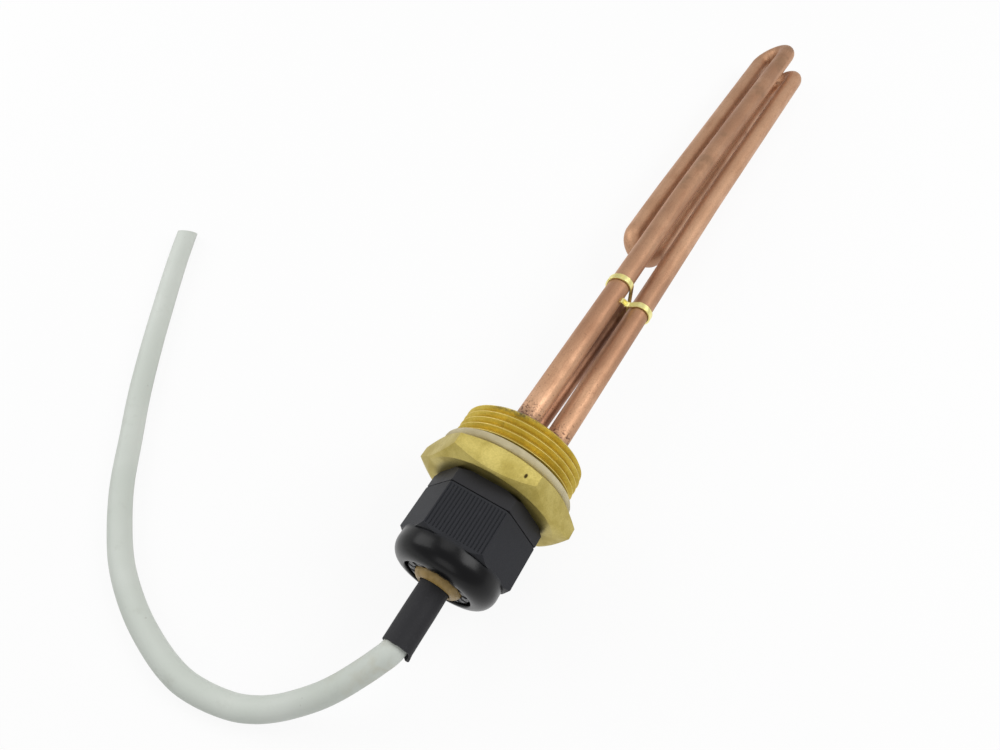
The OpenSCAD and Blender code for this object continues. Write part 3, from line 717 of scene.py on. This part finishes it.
# Flange gasket: a pale pressed-fibre ring between the plug's hexagon and the vessel, slightly swollen.
# It is held by nothing but the thread, and its edge is a little uneven.
fibre, root, place = finish("gasket_fibre")
felt = place.grain(1400, 5, 0.7)
soaked = place.grain(150, 3).between(0.4, 0.66)
coat(fibre, root, Base_Color=soaked.tint(shade(199, 188, 153), shade(182, 170, 135)),
     Roughness=0.72 + 0.1 * felt, Normal=felt.bump(0.00012))
gasket_bore, swelling = 21.2, 0.09
gasket_profile = [(-2.98, gasket_bore), (-2.97, 21.9), (-2.7, 22.35), (-2.2, 22.62), (-1.6, 22.7),
                  (-1.0, 22.6), (-0.45, 22.3), (-0.12, 21.8), (-0.05, gasket_bore)]
rings = []
for x, r in gasket_profile:
    uneven = swelling if r > gasket_bore else 0.0
    ring = []
    for a in around:
        swell = uneven * noise.noise(Vector((x * 0.4, *spoke(a, 5))))
        ring.append(Vector((x, *spoke(a, r + swell))) * MM)
    rings.append(ring)
gasket = piece("gasket_ring", [looped(rings)], fibre)
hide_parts("flange_gasket")


# Heating element: one 8 mm copper tube bent into two hairpins joined by a lower bend, annealed and dull.
# Both legs pass through the plug's end wall and are brazed there, which leaves them dark and spotted.
tube_r, tube_root = 4.0, -6
pair_spacing, pair_angle = 12.2, 213
leg_a = Vector((2.0, 10.2))
leg_b = leg_a + spoke(math.radians(pair_angle), pair_spacing)
hairpin = spoke(math.radians(-45), 13.0)
return_a, return_b = leg_a + hairpin, leg_b + hairpin
tip_a, tip_b, lower_bend = 259.0, 251.0, 110.0
rest_drop = plug_flats / 2 - tube_r
droop = math.atan2(return_b.y, tip_b) + math.asin(rest_drop / math.hypot(tip_b, return_b.y))
yaw = math.radians(-0.9)
bundle_turn = Matrix.Rotation(yaw, 4, "Z") @ Matrix.Rotation(droop, 4, "Y")
in_bundle = Matrix.Translation((end_x * MM, 0, 0)) @ bundle_turn @ Matrix.Scale(MM, 4)
spring_place, spring_ease = 140, 12
bend_steps = 28


def straight(at, x0, x1, steps, lean=0.0):
    """Places along a tube. Beyond the spring place it leans sideways by so many degrees, easing into it."""
    line = []
    for t in shares(steps):
        x = x0 + (x1 - x0) * t
        past = x - spring_place
        if past <= spring_ease:
            past = max(0.0, past + spring_ease) ** 2 / (4 * spring_ease)
        line.append(Vector((x, at[0] + past * math.tan(math.radians(lean)), at[1])))
    return line


def half_turn(p, q, x, way):
    """Half-turn bend from p to q at x, bulging towards the tips for way 1 and the plug for -1."""
    middle, out = (p + q) / 2, (p - q) / 2
    bend = []
    for k in range(1, bend_steps):
        t = math.pi * k / bend_steps
        bend.append(Vector((x + way * out.length * math.sin(t), *(middle + out * math.cos(t)))))
    return bend


def copper_finish(name, light, dull, deep):
    """Drawn copper, light to dull in clouds, deep where tarnished and in painted shade, burnt and spotted
    by the brazing.
    """
    copper, root, place = finish(name)
    x = along(place, "X")
    down_tube = (0, droop, yaw)
    lengthwise = place.drawn(down_tube, (16, 1, 1))
    cloud = place.grain(60, 5, 0.6).between(0.33, 0.68)
    mottle = place.drawn(down_tube, (5, 1, 1)).grain(360, 4, 0.65).between(0.45, 0.72)
    scratch = lengthwise.grain(2600, 3, 0.6).between(0.60, 0.75)
    pepper = place.grain(1900, 3, 0.7).between(0.45, 0.75)
    burnt = (1 - x.between(0.0125, 0.0185)) * place.grain(420, 5, 0.7).between(0.30, 0.52)
    near_spots = (1 - x.between(0.0175, 0.0215)) * place.grain(1300, 2).between(0.52, 0.60)
    far_spots = (1 - x.between(0.016, 0.075)) * place.grain(900, 2).between(0.66, 0.72)
    spots = near_spots.most(far_spots)
    in_line = place.drawn(down_tube, (1, 1, 1))
    across = along(in_line, "Y")
    on_b, on_return = 1 - across.between(-0.0040, -0.0030), across.between(0.0045, 0.0065)
    sheltered = (1 - along(in_line, "Z").between(-0.0007, 0.0004)) * x.between(0.118, 0.124)
    # Tarnished copper and painted shade: the tubes darken from 32 to 60 mm out, as the highlight fades from
    # the plug.
    tarnish_and_shade = x.between(0.032, 0.060) * (1 - 0.8 * on_return) * (1 - on_b * x.between(0.085, 0.13))
    tarnish_and_shade = tarnish_and_shade * (place.grain(45, 3).between(0.30, 0.62) * 0.35 + 0.38) * (1 - sheltered)
    smear = x.between(0.09, 0.13) * (1 - on_b) * (1 - on_return) * (1 - sheltered)
    smear = smear * place.grain(80, 3).between(0.54, 0.68)
    hue = cloud.tint(shade(*light), shade(*dull))
    hue = (mottle * 0.4).tint(hue, shade(*deep))
    hue = tarnish_and_shade.tint(hue, shade(*deep))
    hue = (smear * 0.35).tint(hue, shade(134, 106, 78))
    hue = (pepper * 0.34).tint(hue, shade(*(0.76 * part for part in deep)))
    hue = (scratch * 0.25).tint(hue, shade(210, 172, 146))
    hue = (burnt * 0.8).tint(hue, shade(84, 68, 58))
    hue = (spots * 0.8).tint(hue, shade(92, 62, 48))
    coat(copper, root, Base_Color=hue, Metallic=0.8 - 0.4 * burnt,
         Roughness=0.46 + 0.08 * cloud + 0.10 * mottle + 0.2 * burnt,
         Normal=(lengthwise.grain(1500, 4, 0.6) + place.grain(420, 4) * 0.25).bump(0.00005))
    return copper


sheath_copper = copper_finish("sheath_copper", (215, 171, 137), (199, 156, 123), (162, 119, 91))
lean_a, lean = -1.4, -0.8
leg_steps, return_steps, tube_sides = 90, 50, 36
out_a = straight(leg_a, tube_root, tip_a, leg_steps, lean_a)
back_a = straight(return_a, tip_a, lower_bend, return_steps, lean)
back_b = straight(return_b, lower_bend, tip_b, return_steps, lean)
out_b = straight(leg_b, tip_b, tube_root, leg_steps, lean)
winding = out_a + half_turn(out_a[-1].yz, back_a[0].yz, tip_a, 1)
winding += back_a + half_turn(return_a, return_b, lower_bend, -1)
winding += back_b + half_turn(back_b[-1].yz, out_b[0].yz, tip_b, 1) + out_b
tube_rings = swept([in_bundle @ p for p in winding], tube_r * MM, tube_sides)
sheath = piece("element_tube", [skinned(tube_rings)], sheath_copper, crease=60)
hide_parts("element_sheath")

braze, root, place = finish("braze_metal")
crust = place.grain(700, 5, 0.7).between(0.38, 0.66)
hue = crust.tint(shade(150, 126, 72), shade(76, 66, 54))
coat(braze, root, Base_Color=hue, Metallic=0.8 - 0.6 * crust, Roughness=0.45 + 0.3 * crust,
     Normal=place.grain(1100, 4).bump(0.00025))
pocket_at, pocket_r = Vector((0.5, 0)), 3.0
braze_x, braze_steps, lumpy = -0.35, 6, 0.35
fillets = []
for at, r, reach in ((leg_a, tube_r, 1.7), (leg_b, tube_r, 1.6), (pocket_at, pocket_r, 1.4)):
    rings = []
    for t in shares(braze_steps):
        ring = []
        for a in turns:
            lump = reach * (1 + lumpy * noise.noise(Vector((*(at + spoke(a, 2.2)), 3.0))))
            foot = at + spoke(a, r + lump * (1 - t) ** 2)
            ring.append(in_bundle @ Vector((braze_x + lump * 1.15 * t ** 1.4, *foot)))
        rings.append(ring)
    rings.append([in_bundle @ Vector((braze_x, *(at + spoke(a, r)))) for a in turns])
    fillets.append(looped(rings))
braze_rings = piece("braze_fillets", fillets, braze, crease=70)


# Sensor pocket: a thinner copper tube with its end spun shut, brazed into the wall between the legs.
# It holds the temperature sensor clear of the heated length.
# The pocket's deep hue is dark, so past 32 mm out it takes heavy painted shade where the legs and clip
# shade it.
pocket_copper = copper_finish("pocket_copper", (194, 147, 116), (172, 126, 98), (100, 72, 58))
pocket_reach, pocket_yaw, pocket_droop = 75.0, math.radians(-1.3), math.radians(1.5)
pocket_turn = Matrix.Rotation(pocket_yaw, 4, "Z") @ Matrix.Rotation(pocket_droop, 4, "Y")
in_pocket = in_bundle @ Matrix.Translation((0, *pocket_at)) @ pocket_turn
closing = [math.radians(t) for t in (15, 30, 45, 60, 75, 85)]
line = straight((0, 0), tube_root, pocket_reach - pocket_r, 20)
radii = [pocket_r * MM] * len(line) + [pocket_r * MM * math.cos(t) for t in closing]
line += [Vector((pocket_reach - pocket_r * (1 - math.sin(t)), 0, 0)) for t in closing]
pocket_rings = swept([in_pocket @ p for p in line], radii, 32)
pocket = piece("sensor_tube", [skinned(pocket_rings)], pocket_copper, crease=60)
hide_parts("sensor_pocket")


# Leg clip: a narrow strip of bright brass wound in a figure of eight, which ties the two legs together.
# It is bent by hand, so it stands a little off the tubes, and its cut end is folded over as a tab.
clip_place, clip_lap, clip_ease = 71.5, 2.7, 0.1
strip_half, strip_half_thick, strip_corner = 1.25, 0.35, 0.12
clip_r = tube_r + clip_ease + strip_half_thick
clip_turn = math.degrees(math.acos(2 * clip_r / pair_spacing))
clip_arc = 360 - 2 * clip_turn
clip_steps, tab_steps = 48, 8


def clip_point(leg, angle, laps):
    """Place on the strip's middle line, at an angle round a leg and so many laps from the clip's place."""
    return Vector((clip_place + clip_lap * laps, *(leg + spoke(math.radians(angle), clip_r))))


start_b, start_a = pair_angle - 180 + clip_turn, pair_angle - clip_turn
round_b = [clip_point(leg_b, start_b + clip_arc * t, -0.95 + 0.35 * t) for t in shares(clip_steps)]
round_a = [clip_point(leg_a, start_a - clip_arc * t, 0.15 - 0.7 * t) for t in shares(clip_steps)]
tab = [clip_point(leg_a, 150 + 36 * t, -3.07 + 0.88 * t) for t in shares(tab_steps)]
between_legs = (leg_a + leg_b) / 2
dip = [Vector((clip_place + clip_lap * laps, *(between_legs + Vector((y, z)))))
       for laps, y, z in ((-1.85, 0.1, 1.3), (-1.6, -0.8, 0.45), (-1.33, -1.9, 0.45))]
folded = smooth_line([tab[-1]] + dip + [round_b[0]], 5)
crossing = [round_b[-1].lerp(round_a[0], t) for t in shares(6)[1:-1]]
loop = tab[:-1] + folded[:-1] + round_b + crossing + round_a

clip_brass, root, place = finish("clip_brass")
cloud = place.grain(420, 4, 0.65).between(0.4, 0.7)
x, y, z = (along(place, axis) for axis in "XYZ")
# Painted shadow: the strip is darkened just under the folded tab, where the tab shades it.
under_tab = y.between(-0.0048, -0.0040) * (1 - y.between(-0.0022, -0.0014)) * (1 - z.between(0.006, 0.008))
tab_shadow = x.between(0.0800, 0.0808) * under_tab
hue = cloud.tint(shade(246, 238, 164), shade(234, 220, 138))
hue = (tab_shadow * 0.8).tint(hue, shade(92, 70, 42))
coat(clip_brass, root, Base_Color=hue, Metallic=1.0, Roughness=0.31 + 0.12 * cloud,
     Normal=(place.grain(500, 3) + place.grain(2400, 2) * 0.4).bump(0.00006))

flat_half, flat_half_thick = strip_half - strip_corner, strip_half_thick - strip_corner
strip_side = ((-strip_half, -flat_half_thick), (-flat_half, -strip_half_thick),
              (flat_half, -strip_half_thick), (strip_half, -flat_half_thick))
strip_section = strip_side + tuple((-w, -t) for w, t in strip_side)
rings = []
for k, p in enumerate(loop):
    d = loop[min(k + 1, len(loop) - 1)] - loop[max(k - 1, 0)]
    out = Vector((0, -d.z, d.y)).normalized()
    rings.append([in_bundle @ (p + Vector((w, 0, 0)) + out * t) for w, t in strip_section])
clip = piece("clip_strip", [skinned(rings)], clip_brass)
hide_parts("leg_clip")


# Inside the tubes and the plug: packed magnesia, the resistance winding, its pins and end seals,
# the crimped cores, the earth tag and the sensor, none of which shows from outside.
for nodes, hue, second, metal, rough, scale in (
    (["magnesia_fill"], (226, 224, 214), (206, 202, 190), 0.0, 0.85, 900),
    (["resistance_coil"], (128, 124, 120), (92, 88, 86), 1.0, 0.45, 2600),
    (["terminal_pin_a", "terminal_pin_b"], (176, 176, 178), (140, 140, 142), 1.0, 0.35, 1500),
    (["end_seal_a", "end_seal_b"], (176, 84, 62), (150, 66, 50), 0.0, 0.6, 800),
    (["crimp_a", "crimp_b"], (204, 204, 206), (170, 170, 174), 1.0, 0.3, 1200),
    (["core_live"], (96, 60, 42), (76, 46, 32), 0.0, 0.4, 1000),
    (["core_neutral"], (52, 88, 160), (42, 70, 130), 0.0, 0.4, 1000),
    (["core_earth"], (88, 138, 62), (190, 178, 60), 0.0, 0.4, 260),
    (["earth_tag"], (206, 200, 170), (170, 162, 132), 1.0, 0.35, 900),
    (["sensor_capsule"], (206, 208, 210), (176, 178, 180), 1.0, 0.3, 900),
    (["sensor_lead"], (224, 222, 214), (200, 198, 188), 0.0, 0.5, 900),
):
    for node in nodes:
        stuff, root, place = finish(node + "_finish")
        vary = place.grain(scale, 4, 0.6).between(0.4, 0.65)
        coat(stuff, root, Base_Color=vary.tint(shade(*hue), shade(*second)), Metallic=metal,
             Roughness=rough + 0.1 * vary, Normal=place.grain(scale * 2, 3).bump(0.00005))
        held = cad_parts[node].data.materials
        held.clear()
        held.append(stuff)

low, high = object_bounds()
